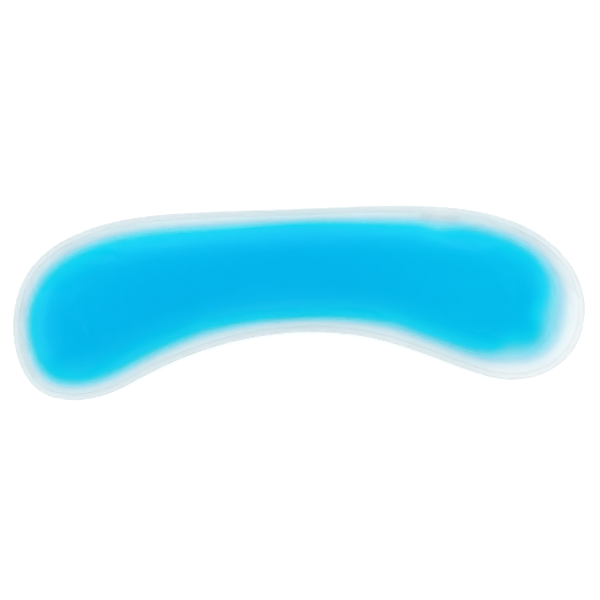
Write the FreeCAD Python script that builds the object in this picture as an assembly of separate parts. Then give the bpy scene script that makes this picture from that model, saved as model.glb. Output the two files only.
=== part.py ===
"""Gel eye pillow: a crescent pouch of two welded soft-plastic films, filled with gel.

Units are millimetres, +Z is up.  The pouch lies on its back film at z = 0, its length runs
along X, and its convex brow side faces +Y.  The origin is under the middle of its box.
"""

import FreeCAD, Part

import os

from FreeCAD import Vector

# Driving dimensions
FILM = 0.45          # thickness of each film
WELD_WIDTH = 2.5     # width of the fused rim
WELD_HEIGHT = 4.5    # the weld's middle plane above the rest face
FRONT_GAP = 7.6      # from the weld's plane up to the inside of the front film
BACK_GAP = WELD_HEIGHT - FILM    # from the weld's plane down to the inside of the back film
RIM_ROUND = 0.3      # rounding of the rim's outer edges
RIM_ZONE = 7.0       # so far in, the pouch's rings keep an even distance from its outer edge
HALF_WIDTH = 27.0    # nominal distance from the outer edge to the spine
GEL_DEPTH = 5.0      # the gel stops this far from the pouch's outer edge
RING_POINTS = 48     # points that carry one ring
RING_ARCS = 8        # arcs that make up one ring

# Fill port: the short weld that closed the pouch after filling
PORT_X = 59.0        # its middle, along the brow side
PORT_LENGTH = 18.0
PORT_WIDTH = 2.6     # how far it reaches inwards from the rim

# The outer edge, clockwise from the middle of the brow side
BROW_SIDE_RIGHT = [(0, 36.5), (45, 36.0), (78, 31.4)]
RIGHT_END = [(102, 18.8), (114, -2), (108, -25.5), (88, -35.1)]
NOSE_SIDE = [(60, -27.9), (28, -16.2), (0, -13), (-28, -16), (-60, -26.8)]
LEFT_END = [(-84, -36.2), (-105, -32.4), (-114.5, -11), (-106, 17.6)]
BROW_SIDE_LEFT = [(-80, 32.4), (-45, 36.5)]

# The spine, an arc along the middle of the crescent from one end's centre to the other's
SPINE = [(-85, -6), (0, 11.8), (84, -5)]

# The films' inside, as (depth in from the outer edge, share of the full gap)
FRONT_PROFILE = [(WELD_WIDTH, 0), (4.5, 0.04), (6.5, 0.16), (9, 0.42), (12, 0.68), (15.5, 0.86), (19.5, 0.96), (24, 1)]
BACK_PROFILE = [(WELD_WIDTH, 0), (4.5, 0.07), (6.5, 0.28), (9, 0.66), (11.5, 0.92), (14, 1)]


def flat_points(pairs):
    return [Vector(x, y, 0) for x, y in pairs]


def closed_curve(points, arcs):
    """A smooth closed curve through the points, as so many arcs of equally many points each.

    It is cut from a longer curve that overlaps itself, which keeps it smooth where it closes.
    """
    overlap = 4
    curve = Part.BSplineCurve()
    curve.interpolate(points[-overlap:] + points + points[:overlap + 1])
    knots = curve.getKnots()
    per_arc = len(points) // arcs
    pieces = []
    for i in range(arcs):
        first = overlap + i * per_arc
        piece = curve.copy()
        piece.segment(knots[first], knots[first + per_arc])
        pieces.append(piece)
    return pieces


EDGE = closed_curve(flat_points(BROW_SIDE_RIGHT + RIGHT_END + NOSE_SIDE + LEFT_END + BROW_SIDE_LEFT), 1)[0]
MIDDLE = EDGE.toShape().optimalBoundingBox().Center
SPINE_ARC = Part.Arc(*flat_points(SPINE))


def nearest_on_spine(point):
    """The spine's nearest point, or its nearer end for a point beyond it."""
    return Part.Vertex(point).distToShape(SPINE_ARC.toShape())[1][0][1]


def ring(depth, height, start=0):
    """A closed ring that runs inside the outer edge, in the frame of the finished part.

    Up to RIM_ZONE it keeps its distance from the edge. Deeper rings close in on the spine.
    start is the point, counted along the edge, where the ring's first arc begins.
    """
    inset = min(depth, RIM_ZONE)
    share = (depth - inset) / (HALF_WIDTH - RIM_ZONE)
    points = []
    for place in EDGE.toShape().discretize(Number=RING_POINTS + 1)[:-1]:
        along = EDGE.tangent(EDGE.parameter(place))[0]
        point = place + Vector(along.y, -along.x, 0) * inset
        point += (nearest_on_spine(point) - point) * share
        points.append(point - MIDDLE + Vector(0, 0, height))
    return Part.Wire([arc.toShape() for arc in closed_curve(points[start:] + points[:start], RING_ARCS)])


def plate(depth, low, high):
    """A flat plate with the pouch's outline, set in from the outer edge.

    Its arcs begin half an arc further on than the domes' arcs, so that no corners coincide.
    """
    return Part.Face(ring(depth, low, RING_POINTS // RING_ARCS // 2)).extrude(Vector(0, 0, high - low))


def outside_profile(inside):
    """A film's inside profile moved out by the film's thickness, square to the film."""
    last = len(inside) - 1
    moved = [(inside[0][0], inside[0][1] + FILM)]
    for i in range(1, last):
        across = inside[i + 1][0] - inside[i - 1][0]
        rise = inside[i + 1][1] - inside[i - 1][1]
        length = (across ** 2 + rise ** 2) ** 0.5
        moved.append((inside[i][0] - FILM * rise / length, inside[i][1] + FILM * across / length))
    moved.append((inside[last][0], inside[last][1] + FILM))
    return moved


def skin(profile, side):
    """The smooth surface over a profile and the flat cap that closes its middle, as faces.

    side is 1 above the weld's plane and -1 below it.
    """
    rings = [ring(depth, WELD_HEIGHT + side * height) for depth, height in profile]
    return Part.makeLoft(rings).Faces + [Part.Face(rings[-1])]


def closed_solid(faces):
    """The solid that these faces enclose."""
    shell = Part.makeShell(faces)
    shell.sewShape()
    solid = Part.makeSolid(shell)
    solid.fix(1e-6, 1e-6, 1e-6)
    return solid


def film(inside, side):
    """One film: its outside, its inside, and its narrow edge face along the rim."""
    edge = [ring(WELD_WIDTH, WELD_HEIGHT), ring(WELD_WIDTH, WELD_HEIGHT + side * FILM)]
    return closed_solid(skin(outside_profile(inside), side) + skin(inside, side) + Part.makeLoft(edge).Faces)


def perimeter_weld():
    """The rim, where both films are melted into one strip all round."""
    blank = plate(0, WELD_HEIGHT - FILM, WELD_HEIGHT + FILM)
    outer_edges = [e for e in blank.Edges if e.BoundBox.ZLength < RIM_ROUND]
    rounded = blank.makeFillet(RIM_ROUND, outer_edges)
    return rounded.cut(plate(WELD_WIDTH, 0, 2 * WELD_HEIGHT))


def port_zone():
    """The strip of space that the closing weld may take up, just inside the rim."""
    strip = plate(WELD_WIDTH, 0, 2 * WELD_HEIGHT).cut(plate(WELD_WIDTH + PORT_WIDTH, 0, 2 * WELD_HEIGHT))
    brow_side = Vector(PORT_X - PORT_LENGTH / 2, 0, 0)
    return strip.common(Part.makeBox(PORT_LENGTH, 2 * HALF_WIDTH, 2 * WELD_HEIGHT, brow_side))


def write(name, shape):
    solid = shape.removeSplitter()
    box = solid.optimalBoundingBox()
    sides = [round(v, 2) for v in (box.XMin, box.XMax, box.YMin, box.YMax, box.ZMin, box.ZMax)]
    print(name, len(solid.Solids), "solid, valid:", solid.isValid(), "mm3:", round(solid.Volume, 1), "box:", sides)
    solid.exportStep("parts/" + name + ".step")


def main():
    os.makedirs("parts", exist_ok=True)
    front = [(depth, share * FRONT_GAP) for depth, share in FRONT_PROFILE]
    back = [(depth, share * BACK_GAP) for depth, share in BACK_PROFILE]
    pouch_space = closed_solid(skin(front, 1) + skin(back, -1))
    port_weld = pouch_space.common(port_zone())
    gel = pouch_space.common(plate(GEL_DEPTH, 0, WELD_HEIGHT + 2 * FRONT_GAP)).cut(port_weld)
    write("front_film", film(front, 1))
    write("back_film", film(back, -1))
    write("gel_fill", gel)
    write("perimeter_weld", perimeter_weld())
    write("fill_port_weld", port_weld)



main()
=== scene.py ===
"""Looks of the gel eye pillow: a frosted crescent pouch, its welded rim and the blue gel inside.

Every surface hangs on the same skeleton: rays that run from the pouch's outer edge in to the
spine of the crescent. A ray's points are given by their depth in from the edge.
"""

import math

import bpy
import numpy as np
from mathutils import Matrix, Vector, noise


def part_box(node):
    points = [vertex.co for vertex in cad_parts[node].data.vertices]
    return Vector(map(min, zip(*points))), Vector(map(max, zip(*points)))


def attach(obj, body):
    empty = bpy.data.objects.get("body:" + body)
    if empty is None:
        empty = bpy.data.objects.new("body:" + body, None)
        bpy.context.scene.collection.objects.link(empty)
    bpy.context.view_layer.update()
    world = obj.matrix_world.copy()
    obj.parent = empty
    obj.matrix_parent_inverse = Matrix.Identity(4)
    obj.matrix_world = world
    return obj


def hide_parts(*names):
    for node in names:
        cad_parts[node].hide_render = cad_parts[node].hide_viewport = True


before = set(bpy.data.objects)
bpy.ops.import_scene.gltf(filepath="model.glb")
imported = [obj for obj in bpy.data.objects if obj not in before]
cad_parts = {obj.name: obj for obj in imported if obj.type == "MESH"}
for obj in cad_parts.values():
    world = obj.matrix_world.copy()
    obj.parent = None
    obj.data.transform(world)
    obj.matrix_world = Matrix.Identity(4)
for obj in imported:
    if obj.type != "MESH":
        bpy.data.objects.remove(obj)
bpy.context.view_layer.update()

# Sizes of the pouch, in metres, from the frame's own pieces
MM = 0.001
WELD_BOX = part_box("perimeter_weld")
WELD_HEIGHT = (WELD_BOX[0].z + WELD_BOX[1].z) / 2
FILM = (WELD_BOX[1].z - WELD_BOX[0].z) / 2
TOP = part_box("front_film")[1].z
PORT_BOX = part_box("fill_port_weld")
FRONT_GAP = TOP - FILM - WELD_HEIGHT

RIM_ZONE = 7 * MM        # so far in, the rings keep an even distance from the outer edge

# Depths in from the outer edge, in millimetres
WELD_WIDTH = 2.5         # where the films part
DEEPEST = 27.0           # the spine
PROFILE_LINE = 7.2       # the gel line of the profiles below
GEL_LINE = 9.4           # usual depth at which the gel is thick enough to look solid

# The outer edge, clockwise from the middle of the brow side, and the spine, in millimetres
EDGE_POINTS = [
    (0, 36.5), (45, 36.0), (78, 31.4), (102, 18.8), (114, -2), (108, -25.5),
    (88, -35.1), (60, -27.9), (28, -16.2), (0, -13), (-28, -16), (-60, -26.8),
    (-84, -36.2), (-105, -32.4), (-114.5, -11), (-106, 17.6), (-80, 32.4), (-45, 36.5),
]
SPINE_POINTS = [(-85, -6), (0, 11.8), (84, -5)]

# The films' inside, as (depth in mm, share of the full gap)
FRONT_PROFILE = [
    (WELD_WIDTH, 0), (4, 0.008), (5.5, 0.04), (7, 0.15), (9, 0.38), (12, 0.66), (15.5, 0.86),
    (20, 0.97), (DEEPEST, 1),
]
BACK_PROFILE = [
    (WELD_WIDTH, 0), (4, 0.015), (5.5, 0.07), (7, 0.26), (9, 0.6), (11.5, 0.9), (14, 1), (DEEPEST, 1),
]


# ---------------------------------------------------------------- curves and the skeleton

def loop_curve(points, count):
    """A smooth closed curve through the points, as count places evenly spaced along it."""
    points = np.asarray(points, float)
    n = len(points)
    steps = np.linalg.norm(np.roll(points, -1, 0) - points, axis=1)
    before = np.roll(steps, 1)
    system = np.zeros((n, n))
    for i in range(n):
        system[i, i] = 2 * (before[i] + steps[i])
        system[i, i - 1] += before[i]
        system[i, (i + 1) % n] += steps[i]
    slope = (np.roll(points, -1, 0) - points) / steps[:, None]
    bend = np.linalg.solve(system, 6 * (slope - np.roll(slope, 1, 0)))
    fine = []
    for i in range(n):
        j = (i + 1) % n
        t = np.linspace(0, 1, 80, endpoint=False)[:, None]
        h = steps[i] ** 2 / 6
        fine.append(
            (1 - t) * points[i] + t * points[j]
            + h * (((1 - t) ** 3 - (1 - t)) * bend[i] + (t ** 3 - t) * bend[j])
        )
    fine = np.concatenate(fine)
    along = np.r_[0, np.cumsum(np.linalg.norm(np.roll(fine, -1, 0) - fine, axis=1))]
    wanted = np.linspace(0, along[-1], count, endpoint=False)
    closed = np.r_[fine, fine[:1]]
    return np.stack([np.interp(wanted, along, closed[:, k]) for k in (0, 1)], axis=1)


def arc_through(points, count):
    """Places evenly spaced on the arc through three points, and the arc's centre."""
    (ax, ay), (bx, by), (cx, cy) = points
    rows = np.array([[bx - ax, by - ay], [cx - bx, cy - by]], float)
    squares = [x ** 2 + y ** 2 for x, y in points]
    centre = np.linalg.solve(rows, np.diff(squares) / 2)
    radius = math.hypot(ax - centre[0], ay - centre[1])
    first, last = (math.atan2(y - centre[1], x - centre[0]) for x, y in (points[0], points[2]))
    turn = np.linspace(first, last, count)
    return centre + radius * np.stack([np.cos(turn), np.sin(turn)], axis=1), centre


class Skeleton:
    """The rays from the outer edge to the spine, in order round the pouch."""

    BODY = 150      # rays along one side of the spine
    FAN = 44        # rays round one end

    def __init__(self):
        edge = loop_curve(EDGE_POINTS, 6000)
        middle = (edge.min(0) + edge.max(0)) / 2
        spine, centre = arc_through(SPINE_POINTS, self.BODY + 1)
        edge = (edge - middle) * MM
        spine = (spine - middle) * MM
        centre = (centre - middle) * MM
        outward = spine - centre
        outward /= np.linalg.norm(outward, axis=1)[:, None]
        roots, ways = [], []
        for i in range(self.BODY + 1):                       # brow side, left to right
            roots.append(spine[i])
            ways.append(outward[i])
        self.fan(roots, ways, spine[-1], outward[-1])        # right end
        for i in range(self.BODY, -1, -1):                   # nose side, right to left
            roots.append(spine[i])
            ways.append(-outward[i])
        self.fan(roots, ways, spine[0], -outward[0])         # left end
        self.root = np.array(roots)
        self.hit, self.normal = self.meet(self.root, np.array(ways), edge)
        self.count = len(self.root)

    def fan(self, roots, ways, root, first):
        """The rays round one end, which turn clockwise through half a circle."""
        for k in range(1, self.FAN):
            turn = -math.pi * k / self.FAN
            c, s = math.cos(turn), math.sin(turn)
            roots.append(root)
            ways.append(np.array([c * first[0] - s * first[1], s * first[0] + c * first[1]]))

    @staticmethod
    def meet(roots, ways, edge):
        """Where each ray meets the edge, and the edge's inward normal there."""
        after = np.roll(edge, -1, 0)
        hits, normals = [], []
        for root, way in zip(roots, ways):
            a, b = edge - root, after - root
            side_a = way[0] * a[:, 1] - way[1] * a[:, 0]
            side_b = way[0] * b[:, 1] - way[1] * b[:, 0]
            crossing = np.flatnonzero((side_a * side_b <= 0) & (a @ way > 0))
            i = crossing[np.argmin(a[crossing] @ way)]
            share = side_a[i] / (side_a[i] - side_b[i])
            along = after[i] - edge[i]
            along = along / np.linalg.norm(along)
            hits.append(edge[i] + share * (after[i] - edge[i]))
            normals.append([along[1], -along[0]])
        return np.array(hits), np.array(normals)

    def at(self, depth):
        """The ring of places at a depth in metres."""
        ray = self.root - self.hit
        length = np.linalg.norm(ray, axis=1)
        slant = np.maximum(np.sum(ray * self.normal, axis=1) / length, 0.5)
        inset = min(depth, RIM_ZONE) / slant
        place = self.hit + ray * (inset / length)[:, None]
        share = max(depth - RIM_ZONE, 0) / (DEEPEST * MM - RIM_ZONE)
        return place + (self.root - place) * share


rays = Skeleton()


# ---------------------------------------------------------------- how the pouch settled

def smooth(t):
    t = np.clip(t, 0, 1)
    return t * t * (3 - 2 * t)


def drift(places, size, seed):
    """Slow noise from -1 to 1 over the plane, with hills of about this size in metres."""
    return np.array([noise.noise(Vector((x / size, y / size, seed))) for x, y in places])


GEL_LINE_BUMPS = [      # x, y on the edge, reach along it, extra depth, in mm
    (3, 36.5, 26, -1.8),        # the gel fills the middle of the brow side best
    (59, 35, 6.5, 1.7),         # over the closing weld of the fill port
    (112, -14, 25, 9.2),        # and thins out towards the right end
    (84, -35, 13, 4.8),
    (37, -18.7, 7, 0.9),
    (0, -13, 24, -1.8),
    (-37, -18.3, 5, 0.4),
    (-114, -3, 14, -0.9),
]


def gel_line():
    """The depth of the gel line on every ray, in mm."""
    line = np.full(rays.count, GEL_LINE)
    for x, y, reach, extra in GEL_LINE_BUMPS:
        distance = np.linalg.norm(rays.hit / MM - (x, y), axis=1)
        line = line + extra * np.exp(-(distance / reach) ** 2)
    return line


LINE = gel_line()
FILM_FOLLOWS = 0.4       # share of the gel line's wander that the film's height follows
EASING = 9               # rays to each side that are averaged


def eased(line):
    """The gel line as the film's height follows it: less far, and smoothed along the edge."""
    window = np.hanning(2 * EASING + 1)
    padded = np.r_[line[-EASING:], line, line[:EASING]]
    smoothed = np.convolve(padded, window / window.sum(), "valid")
    return PROFILE_LINE + FILM_FOLLOWS * (smoothed - PROFILE_LINE)


FILM_LINE = eased(LINE)


def film_depth(depth):
    """Depth in mm on every ray at which the profiles are read, so that their line is FILM_LINE."""
    reach_in = smooth((depth - WELD_WIDTH) / (FILM_LINE - WELD_WIDTH))
    reach_out = 1 - smooth((depth - FILM_LINE) / (DEEPEST - FILM_LINE))
    return depth - (FILM_LINE - PROFILE_LINE) * reach_in * reach_out


def colour_depth(depth):
    """The same for the gel's colour, whose fade stretches evenly up to LINE."""
    before = WELD_WIDTH + (depth - WELD_WIDTH) * (PROFILE_LINE - WELD_WIDTH) / (LINE - WELD_WIDTH)
    after = depth - (LINE - PROFILE_LINE) * (1 - smooth((depth - LINE) / (DEEPEST - LINE)))
    return np.where(depth < LINE, before, after)


def height_share(profile, depth):
    """The profile's share of the full gap at a depth, on a smooth monotone curve."""
    knots = np.array(profile, float)
    x, y = knots[:, 0], knots[:, 1]
    step = np.diff(x)
    rise = np.diff(y) / step
    slope = np.zeros(len(x))
    for i in range(1, len(x) - 1):
        if rise[i - 1] * rise[i] > 0:
            a, b = 2 * step[i] + step[i - 1], step[i] + 2 * step[i - 1]
            slope[i] = (a + b) / (a / rise[i - 1] + b / rise[i])
    d = np.clip(depth, x[0], x[-1])
    i = np.clip(np.searchsorted(x, d, "right") - 1, 0, len(x) - 2)
    t = (d - x[i]) / step[i]
    return (
        y[i] * (1 + 2 * t) * (1 - t) ** 2 + y[i + 1] * t * t * (3 - 2 * t)
        + step[i] * t * (1 - t) * (slope[i] * (1 - t) - slope[i + 1] * t)
    )


def fullness(places):
    """How far the gel lifts the front film: most on the left of the middle, least on the right."""
    x = places[:, 0] / MM
    return 1 - 0.17 * smooth((x - 5) / 85) - 0.07 * smooth((-x - 55) / 50)


RIM_WAVE = 0.55 * MM
RIM_WAVE_LENGTH = 45 * MM
FOLD_HEIGHT = 0.16 * MM
FOLD_LENGTH = 6.2 * MM
DENT_LENGTH = 30 * MM
RIM_SEED, FOLD_SEED, DENT_SEED = 3.1, 11.3, 7.7


def rim_lift(places, depth):
    """The rim's own gentle waves, which die out where the gel holds the films apart."""
    hold = 1 - smooth((depth - 5) / 7)
    return RIM_WAVE * drift(places, RIM_WAVE_LENGTH, RIM_SEED) * hold


def puckers(depth):
    """Fine folds where a film leaves the weld, across the edge, strongest round the ends."""
    swell = smooth((depth - WELD_WIDTH) / 2.5) * (1 - smooth((depth - 6) / 6))
    ends = smooth((np.abs(rays.hit[:, 0]) / MM - 70) / 35)
    waves = drift(rays.hit, FOLD_LENGTH, FOLD_SEED)
    return FOLD_HEIGHT * swell * (0.35 + 0.65 * ends) * waves


FINE_DEPTH = 10          # mm in from the edge up to which the rings lie close together
RING_DEPTHS = np.concatenate([
    np.arange(WELD_WIDTH, FINE_DEPTH, 0.375), np.arange(FINE_DEPTH, 18, 0.8),
    np.linspace(18, 25.8, 8), [DEEPEST],
])
FRONT, BACK = 1, -1


def sheet(side):
    """One film's inside: a row of points for each depth, the last of them on the spine."""
    rows = []
    for depth in RING_DEPTHS:
        places = rays.at(depth * MM)
        middle = WELD_HEIGHT + rim_lift(places, depth)
        at = film_depth(depth)
        if side == FRONT:
            share = height_share(FRONT_PROFILE, at)
            swell = fullness(places) + 0.02 * drift(places, DENT_LENGTH, DENT_SEED) * share
            z = middle + FRONT_GAP * share * swell + np.maximum(puckers(depth), 0)
        else:
            share = height_share(BACK_PROFILE, at)
            z = middle * (1 - share) + share * FILM
        rows.append(np.column_stack([places, z]))
    return np.array(rows)


front_sheet = sheet(FRONT)
back_sheet = sheet(BACK)

PINNED_DEPTH = 3.4       # mm in from the edge up to which the weld holds the film still
MOST_MOVE = 0.5 * MM     # how far the film may settle from its profile
COARSER = 3              # the cloth has one of so many of the close rings
SETTLING_FRAMES = 20


def settled(rows):
    """The front film swollen over the gel as cloth: held by the weld, a little slack, and pushed out."""
    fine = np.flatnonzero(RING_DEPTHS < FINE_DEPTH)
    picks = np.r_[fine[::COARSER], np.arange(len(fine), len(rows))]
    b = Builder()
    rings = [b.ring(rows[k]) for k in picks[:-1]]
    for a, c in zip(rings, rings[1:]):
        b.band(a, c, True)
    spine = b.middle(rings[-1], rows[-1], None, True)
    film = b.piece("film_cloth")
    pins = film.vertex_groups.new(name="pins")
    for ring, k in zip(rings, picks):
        if RING_DEPTHS[k] < PINNED_DEPTH:
            pins.add([int(v) for v in ring], 1, "REPLACE")
    cloth = film.modifiers.new("cloth", "CLOTH")
    cloth.settings.vertex_group_mass = "pins"
    cloth.settings.use_pressure = True
    cloth.settings.uniform_pressure_force = 1.5
    cloth.settings.shrink_min = -0.004
    cloth.settings.tension_stiffness = 40
    cloth.settings.compression_stiffness = 40
    cloth.settings.bending_stiffness = 0.05
    cloth.settings.effector_weights.gravity = 0
    for frame_number in range(1, SETTLING_FRAMES + 1):
        bpy.context.scene.frame_set(frame_number)
    shaped = film.evaluated_get(bpy.context.evaluated_depsgraph_get()).data
    after = np.array([v.co for v in shaped.vertices])
    bpy.data.objects.remove(film)
    bpy.context.scene.frame_set(1)
    moves = np.array([after[list(r)] for r in rings] + [after[spine]]) - rows[picks]
    length = np.linalg.norm(moves, axis=2, keepdims=True)
    moves *= MOST_MOVE * np.tanh(length / MOST_MOVE) / np.maximum(length, 1e-9)
    full = np.empty_like(rows)
    for i in range(rays.count):
        for axis in range(3):
            full[:, i, axis] = np.interp(RING_DEPTHS, RING_DEPTHS[picks], moves[:, i, axis])
    return rows + full


# ---------------------------------------------------------------- what the materials read

def nearness(depth):
    """How near the gel line is, seen from the rim: 0 far away, 1 at the line. It sets how far painted
    shade darkens the dry film and rim.
    """
    extra = LINE - GEL_LINE
    return smooth(1 - (LINE - depth - 2) / (10 + 0.7 * extra))


WETTING_STARTS, WETTING_TAKES = 3.5, 3.3         # in mm of colour depth


def wetness(depth):
    """0 where the film is dry and frosted, 1 where the gel wets it."""
    return smooth((colour_depth(depth) - WETTING_STARTS) / WETTING_TAKES)


def readings(depth, gel_mm=0.0):
    """The values that each point carries, for every ray at one depth in mm."""
    wet = wetness(depth)
    return {
        "wet": wet,
        # glow: a painted glow, lighter, where the gel begins to wet the film
        "glow": 4 * wet * (1 - wet),
        # near: how far the dry film is darkened by painted shade close to the gel line
        "near": nearness(depth),
        "gel_mm": gel_mm * np.ones(rays.count),
    }


def seen_thickness(depth):
    """How much gel, in mm, the light crosses at one depth on every ray."""
    at = colour_depth(depth)
    front = FRONT_GAP * height_share(FRONT_PROFILE, at) * fullness(rays.at(depth * MM)) ** 2.5
    gel_mm = (front + (WELD_HEIGHT - FILM) * height_share(BACK_PROFILE, at)) / MM
    return gel_mm ** 2 / (gel_mm + 0.5)      # the thinnest gel clings to the film and hardly shows


THICKNESS = [seen_thickness(depth) for depth in RING_DEPTHS]


# ---------------------------------------------------------------- mesh building

class Builder:
    """Collects the points and faces of one piece, and the values its material reads."""

    def __init__(self):
        self.points, self.faces, self.values = [], [], {}

    def ring(self, points, values=None):
        first = len(self.points)
        self.points.extend(map(tuple, points))
        for name, numbers in (values or {}).items():
            self.values.setdefault(name, []).extend(numbers[: len(points)])
        return np.arange(first, len(self.points))

    def band(self, a, b, flip=False):
        """Quads between two rings of equally many points."""
        n = len(a)
        for i in range(n):
            j = (i + 1) % n
            quad = (a[i], a[j], b[j], b[i])
            self.faces.append(quad[::-1] if flip else quad)

    def middle(self, ring, points, values, flip):
        """Joins the innermost ring to the spine, whose places both sides of the ring share."""
        body, fan = Skeleton.BODY, Skeleton.FAN
        spine = self.ring(points[: body + 1], values)
        to = np.concatenate([
            spine, np.full(fan - 1, spine[-1]), spine[::-1], np.full(fan - 1, spine[0]),
        ])
        for i in range(len(ring)):
            j = (i + 1) % len(ring)
            face = [ring[i], ring[j], to[j], to[i]]
            if to[i] == to[j]:
                face.pop()
            self.faces.append(tuple(face[::-1] if flip else face))
        return to

    def dome(self, rings, rows, first_row, flip):
        """A sheet from its rings inwards. rings may start with one that is already made."""
        for k in range(first_row, len(rows) - 1):
            rings.append(self.ring(rows[k], readings(RING_DEPTHS[k], THICKNESS[k])))
        for a, c in zip(rings, rings[1:]):
            self.band(a, c, flip)
        self.middle(rings[-1], rows[-1], readings(RING_DEPTHS[-1], THICKNESS[-1]), flip)

    def piece(self, name, material=None):
        mesh = bpy.data.meshes.new(name)
        points = [tuple(map(float, p)) for p in self.points]
        mesh.from_pydata(points, [], [tuple(map(int, f)) for f in self.faces])
        mesh.materials.append(material)
        mesh.polygons.foreach_set("use_smooth", [True] * len(mesh.polygons))
        for key, numbers in self.values.items():
            layer = mesh.attributes.new(key, "FLOAT", "POINT")
            layer.data.foreach_set("value", np.array(numbers, np.float32))
        obj = bpy.data.objects.new(name, mesh)
        bpy.context.scene.collection.objects.link(obj)
        return obj


def film_piece(name, side, rows, material):
    """One film, from the weld's inner edge to the middle, given its thickness outwards."""
    b = Builder()
    b.dome([], rows, 0, side == FRONT)
    obj = b.piece(name, material)
    thick = obj.modifiers.new("film", "SOLIDIFY")
    thick.thickness = FILM
    thick.offset = 1
    thick.use_even_offset = True
    obj.visible_shadow = False       # the film is clear enough to let the light through
    return obj


GEL_GAP = 0.02 * MM
GEL_START = 3.2          # depth in mm at which the gel's thin edge begins
GEL_FULL = 3.4           # depth in mm from which it reaches both films


def gel_piece(name, material):
    """The gel: one closed body between the films, which tapers to a thin edge all round."""
    b = Builder()
    first_row = int(np.searchsorted(RING_DEPTHS, GEL_FULL))
    start = rays.at(GEL_START * MM)
    z = WELD_HEIGHT + rim_lift(start, GEL_START)
    tip = b.ring(np.column_stack([start, z]), readings(GEL_START))
    for side, rows in ((FRONT, front_sheet), (BACK, back_sheet)):
        b.dome([tip], rows - (0, 0, side * GEL_GAP), first_row, side == FRONT)
    return b.piece(name, material)


WELD_SECTION = [     # depth in from the edge and height from the weld's plane, in mm
    (WELD_WIDTH, 0.45), (2.1, 0.34), (1.3, 0.31), (0.95, 0.36), (0.65, 0.50), (0.35, 0.52),
    (0.12, 0.36), (0.0, 0.0),
]


def weld_piece(name, material):
    """The rim: pressed flat, with a fine bead along its outer edge."""
    b = Builder()
    section = WELD_SECTION + [(d, -z) for d, z in WELD_SECTION[-2::-1]]
    rings = []
    for depth, height in section:
        places = rays.at(depth * MM)
        z = WELD_HEIGHT + rim_lift(places, depth) + height * MM
        values = readings(depth)
        # mask of the outer bead, where the rim's colour is darkened as painted shade
        values["bead"] = np.full(rays.count, float(smooth((0.9 - depth) / 0.6)))
        rings.append(b.ring(np.column_stack([places, z]), values))
    for a, c in zip(rings, rings[1:] + rings[:1]):
        b.band(a, c)
    return b.piece(name, material)


PORT_DEPTHS = (2.45, 5.05)       # mm in from the edge that the port's closing weld covers
PORT_RIDGES = 15
PORT_RIDGE_HEIGHT = 0.09 * MM
PORT_PROUD = 0.05 * MM           # how far the fused strip stands out of the films
PORT_SINK = 0.03 * MM            # how far its edges lie below them


def port_piece(name, material):
    """The strip that closes the fill port: fused through both films, with fine ridges across it."""
    brow = np.flatnonzero(rays.hit[:, 1] > 0)
    x = rays.hit[brow, 0]
    chosen = brow[(x > PORT_BOX[0].x) & (x < PORT_BOX[1].x)]
    steps, across = 90, 12
    along = np.linspace(0, len(chosen) - 1, steps)
    depths = np.linspace(*PORT_DEPTHS, across)

    def read(table):
        """A table of one row for each film depth, at this strip's depths and steps."""
        rows = np.array([[np.interp(d, RING_DEPTHS, table[:, i]) for i in chosen] for d in depths])
        return np.array([np.interp(along, np.arange(len(chosen)), row) for row in rows])

    share = np.linspace(0, 1, steps)
    ends = smooth(share * 9) * smooth((1 - share) * 9)
    sides = smooth(np.linspace(0, 1, across) * 5) * smooth(np.linspace(1, 0, across) * 5)
    ridge = 0.5 + 0.5 * np.cos(2 * math.pi * PORT_RIDGES * share)
    lift = (PORT_PROUD + PORT_RIDGE_HEIGHT * ridge[None]) * ends[None] * sides[:, None]
    b = Builder()
    layers = []
    for side, rows in ((FRONT, front_sheet), (BACK, back_sheet)):
        xs, ys, zs = (read(rows[:, :, k]) for k in range(3))
        z = zs + side * (FILM - PORT_SINK + lift)
        layer = []
        for d, depth in enumerate(depths):
            values = {
                name: np.interp(along, np.arange(len(chosen)), numbers[chosen])
                for name, numbers in readings(depth).items()
            }
            layer.append(b.ring(np.column_stack([xs[d], ys[d], z[d]]), values))
        layers.append(layer)
    top, low = layers
    for d in range(across - 1):
        for i in range(steps - 1):
            b.faces.append((top[d][i], top[d + 1][i], top[d + 1][i + 1], top[d][i + 1]))
            b.faces.append((low[d][i], low[d][i + 1], low[d + 1][i + 1], low[d + 1][i]))
    for i in range(steps - 1):
        b.faces.append((top[0][i], top[0][i + 1], low[0][i + 1], low[0][i]))
        b.faces.append((top[-1][i], low[-1][i], low[-1][i + 1], top[-1][i + 1]))
    for d in range(across - 1):
        b.faces.append((top[d][0], low[d][0], low[d + 1][0], top[d + 1][0]))
        b.faces.append((top[d][-1], top[d + 1][-1], low[d + 1][-1], low[d][-1]))
    return b.piece(name, material)


# ---------------------------------------------------------------- materials

FILM_IOR = 1.45
BEAD_SHADE = (0.66, 0.71, 0.73)                # painted shade: a darker line along the rim's outer bead, where the edge curves over
FROSTED_OPEN = (0.78, 0.81, 0.82)        # dry film far from the gel
FROSTED_NEAR_SHADE = (0.45, 0.64, 0.70)        # dry film close to the gel: grey-blue painted shade, where the gel steals its light
WET_FILM = (0.58, 0.59, 0.77)            # film with gel behind it, before the gel's own colour
THIN_GEL_GLOW = (0.42, 0.68, 0.78)            # painted glow: a paler band where the gel begins to wet the film and gathers light
PASSED_PER_MM = (0.02, 0.971, 0.998)     # share of red, green and blue left after 1 mm of gel


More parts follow.
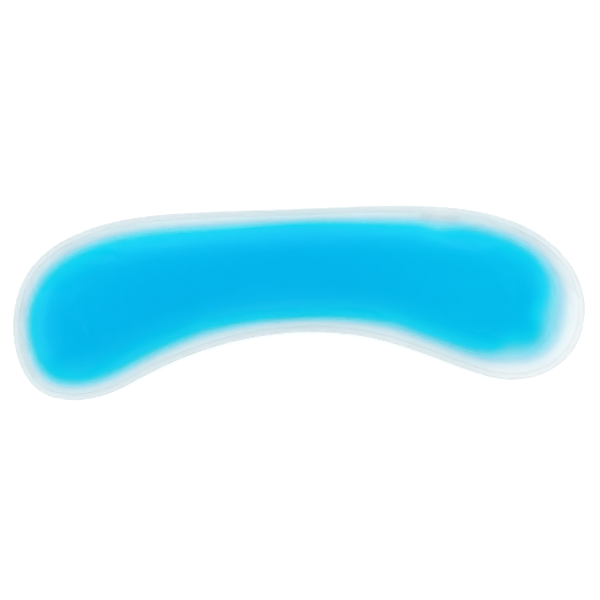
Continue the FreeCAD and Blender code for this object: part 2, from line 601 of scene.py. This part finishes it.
class Nodes:
    """A new material's node tree, with short calls for the nodes used here."""

    def __init__(self, name):
        self.material = bpy.data.materials.new(name)
        self.material.use_nodes = True
        self.tree = self.material.node_tree
        self.shader = self.tree.nodes["Principled BSDF"]

    def new(self, kind, **settings):
        node = self.tree.nodes.new("ShaderNode" + kind)
        for key, value in settings.items():
            setattr(node, key, value)
        return node

    def link(self, source, target):
        self.tree.links.new(source, target)

    def value(self, name):
        """The number that each point carries under this name."""
        return self.new("Attribute", attribute_name=name).outputs["Fac"]

    def mix(self, factor, a, b, blend="MIX"):
        """Mixes two colours, each a colour or a socket."""
        node = self.new("Mix", data_type="RGBA", blend_type=blend)
        for socket, source in ((node.inputs[0], factor), (node.inputs[6], a), (node.inputs[7], b)):
            if isinstance(source, bpy.types.NodeSocket):
                self.link(source, socket)
            elif isinstance(source, tuple):
                socket.default_value = (*source, 1)
            else:
                socket.default_value = source
        return node.outputs[2]

    def range(self, source, low, high):
        """Maps a number from 0 to 1 onto a range."""
        node = self.new("MapRange")
        self.link(source, node.inputs["Value"])
        node.inputs["To Min"].default_value = low
        node.inputs["To Max"].default_value = high
        return node.outputs["Result"]

    def noise(self, scale, detail=2.0):
        """Noise fixed to the object, with this many hills a metre."""
        node = self.new("TexNoise")
        node.inputs["Scale"].default_value = scale
        node.inputs["Detail"].default_value = detail
        self.link(self.new("TexCoord").outputs["Object"], node.inputs["Vector"])
        return node.outputs["Fac"]

    def bump(self, height, depth, before=None):
        """A bump of this depth in metres, on top of an earlier one."""
        node = self.new("Bump")
        node.inputs["Strength"].default_value = 1
        node.inputs["Distance"].default_value = depth
        self.link(height, node.inputs["Height"])
        if before:
            self.link(before, node.inputs["Normal"])
        return node.outputs["Normal"]

    def through_gel(self, colour):
        """A colour seen through the gel: each millimetre passes the same share of the light."""
        thickness = self.value("gel_mm")
        parts = self.new("CombineColor")
        for socket, passed in zip(parts.inputs, PASSED_PER_MM):
            power = self.new("Math", operation="POWER")
            power.inputs[0].default_value = passed
            self.link(thickness, power.inputs[1])
            self.link(power.outputs[0], socket)
        return self.mix(1.0, colour, parts.outputs[0], "MULTIPLY")

    def pouch_colour(self):
        """Frosted where the film is dry, with painted shade close to the gel line and a painted glow
        where the gel begins to wet it, and the gel's own blue where the gel wets it.
        """
        dry = self.mix(self.value("near"), FROSTED_OPEN, FROSTED_NEAR_SHADE)
        wetted = self.mix(self.value("wet"), dry, WET_FILM)
        return self.through_gel(self.mix(self.value("glow"), wetted, THIN_GEL_GLOW))


def gel_material():
    n = Nodes("gel")
    n.link(n.pouch_colour(), n.shader.inputs["Base Color"])
    n.shader.inputs["Transmission Weight"].default_value = 0.15
    n.link(n.range(n.noise(500), 0.10, 0.18), n.shader.inputs["Roughness"])
    n.link(n.bump(n.noise(140), 0.00012), n.shader.inputs["Normal"])
    n.shader.inputs["IOR"].default_value = 1.36
    n.shader.inputs["Specular IOR Level"].default_value = 0.3
    n.shader.inputs["Specular Tint"].default_value = (0.05, 0.8, 1, 1)
    return n.material


def film_material():
    n = Nodes("film")
    n.link(n.pouch_colour(), n.shader.inputs["Base Color"])
    n.link(n.range(n.value("wet"), 0.75, 0.02), n.shader.inputs["Alpha"])
    n.link(n.range(n.noise(900), 0.30, 0.42), n.shader.inputs["Roughness"])
    n.shader.inputs["IOR"].default_value = FILM_IOR
    soft = n.bump(n.noise(160), 0.00012)
    n.link(n.bump(n.noise(2600), 0.00001, soft), n.shader.inputs["Normal"])
    return n.material


def weld_material():
    n = Nodes("weld")
    # the dry rim's colour, darkened with painted shade close to the gel line
    dry = n.mix(n.value("near"), FROSTED_OPEN, FROSTED_NEAR_SHADE)
    # painted shade: the outer bead is coloured darker where the edge curves over
    n.link(n.mix(n.value("bead"), dry, BEAD_SHADE), n.shader.inputs["Base Color"])
    n.shader.inputs["Alpha"].default_value = 0.7
    n.link(n.range(n.noise(700), 0.24, 0.36), n.shader.inputs["Roughness"])
    n.shader.inputs["IOR"].default_value = FILM_IOR
    n.link(n.bump(n.noise(1500), 0.00002), n.shader.inputs["Normal"])
    return n.material


# ---------------------------------------------------------------- the pieces

front_sheet = settled(front_sheet)
film = film_material()
weld = weld_material()

PIECES = [      # piece, CAD node that it stands for, material slot
    (film_piece("front_film_skin", FRONT, front_sheet, film), "front_film", "film"),
    (film_piece("back_film_skin", BACK, back_sheet, film), "back_film", "film"),
    (gel_piece("gel_body", gel_material()), "gel_fill", "gel"),
    (weld_piece("perimeter_weld_rim", weld), "perimeter_weld", "weld"),
    (port_piece("fill_port_seal", weld), "fill_port_weld", "weld"),
]
for piece, node, slot in PIECES:
    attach(piece, "root")
    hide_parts(node)


# ---------------------------------------------------------------- floor, light and camera

FLOOR_RADIUS = 1.7
COVE_RADIUS = 0.8
FLOOR_CORNERS = 96
SOFTBOX_SIZE = 1.9


def stage_floor():
    """A round pale cove: a floor that curves up into a wall."""
    n = Nodes("floor")
    n.shader.inputs["Base Color"].default_value = (0.93, 0.93, 0.93, 1)
    n.shader.inputs["Roughness"].default_value = 1
    n.shader.inputs["Specular IOR Level"].default_value = 0
    n.shader.inputs["Emission Color"].default_value = (1, 1, 1, 1)
    n.shader.inputs["Emission Strength"].default_value = 0.2
    b = Builder()
    section = [(0.02, 0), (0.3, 0), (1.2, 0), (FLOOR_RADIUS, 0)]
    for t in np.linspace(0.1, math.pi / 2, 10):
        section.append((FLOOR_RADIUS + COVE_RADIUS * math.sin(t), COVE_RADIUS * (1 - math.cos(t))))
    section.append((FLOOR_RADIUS + COVE_RADIUS, 2 * COVE_RADIUS))
    turn = np.linspace(0, 2 * math.pi, FLOOR_CORNERS, endpoint=False)
    rings = []
    for r, z in section:
        places = np.column_stack([r * np.cos(turn), r * np.sin(turn), np.full(FLOOR_CORNERS, z)])
        rings.append(b.ring(places))
    for a, c in zip(rings, rings[1:]):
        b.band(a, c, True)
    b.faces.append(tuple(rings[0]))
    b.piece("floor", n.material)


def softbox(name, place, power):
    """A square studio light that faces the pouch."""
    data = bpy.data.lights.new(name, "AREA")
    data.size = SOFTBOX_SIZE
    data.energy = power
    light = bpy.data.objects.new(name, data)
    bpy.context.scene.collection.objects.link(light)
    light.location = place
    light.rotation_euler = (-Vector(place)).to_track_quat("-Z", "Y").to_euler()


stage_floor()
softbox("left_softbox", (-1.6, 0.1, 1.2), 15)
softbox("right_softbox", (1.6, 0.1, 1.2), 14)
softbox("brow_softbox", (0, 1.6, 1.2), 15)
softbox("nose_softbox", (0, -1.6, 1.2), 11)

scene = bpy.context.scene
scene.world = bpy.data.worlds.new("studio")
scene.world.use_nodes = True
background = scene.world.node_tree.nodes["Background"]
background.inputs["Color"].default_value = (1, 1, 1, 1)
background.inputs["Strength"].default_value = 0.4
scene.view_settings.view_transform = "Standard"
scene.cycles.max_bounces = 12
scene.cycles.transmission_bounces = 12
scene.cycles.transparent_max_bounces = 16

CAMERA_LENS = 120
CAMERA_X = 0.7 * MM
CAMERA_SPAN = 0.240      # width that the picture shows at the rim's height
PICTURE_TILT = 2.2       # degrees that the pouch's length rises to the right
camera_data = bpy.data.cameras.new("camera")
camera_data.lens = CAMERA_LENS
camera = bpy.data.objects.new("camera", camera_data)
scene.collection.objects.link(camera)
camera.location = (CAMERA_X, 0, WELD_HEIGHT + CAMERA_SPAN * CAMERA_LENS / camera_data.sensor_width)
camera.rotation_euler = (0, 0, -math.radians(PICTURE_TILT))
scene.camera = camera
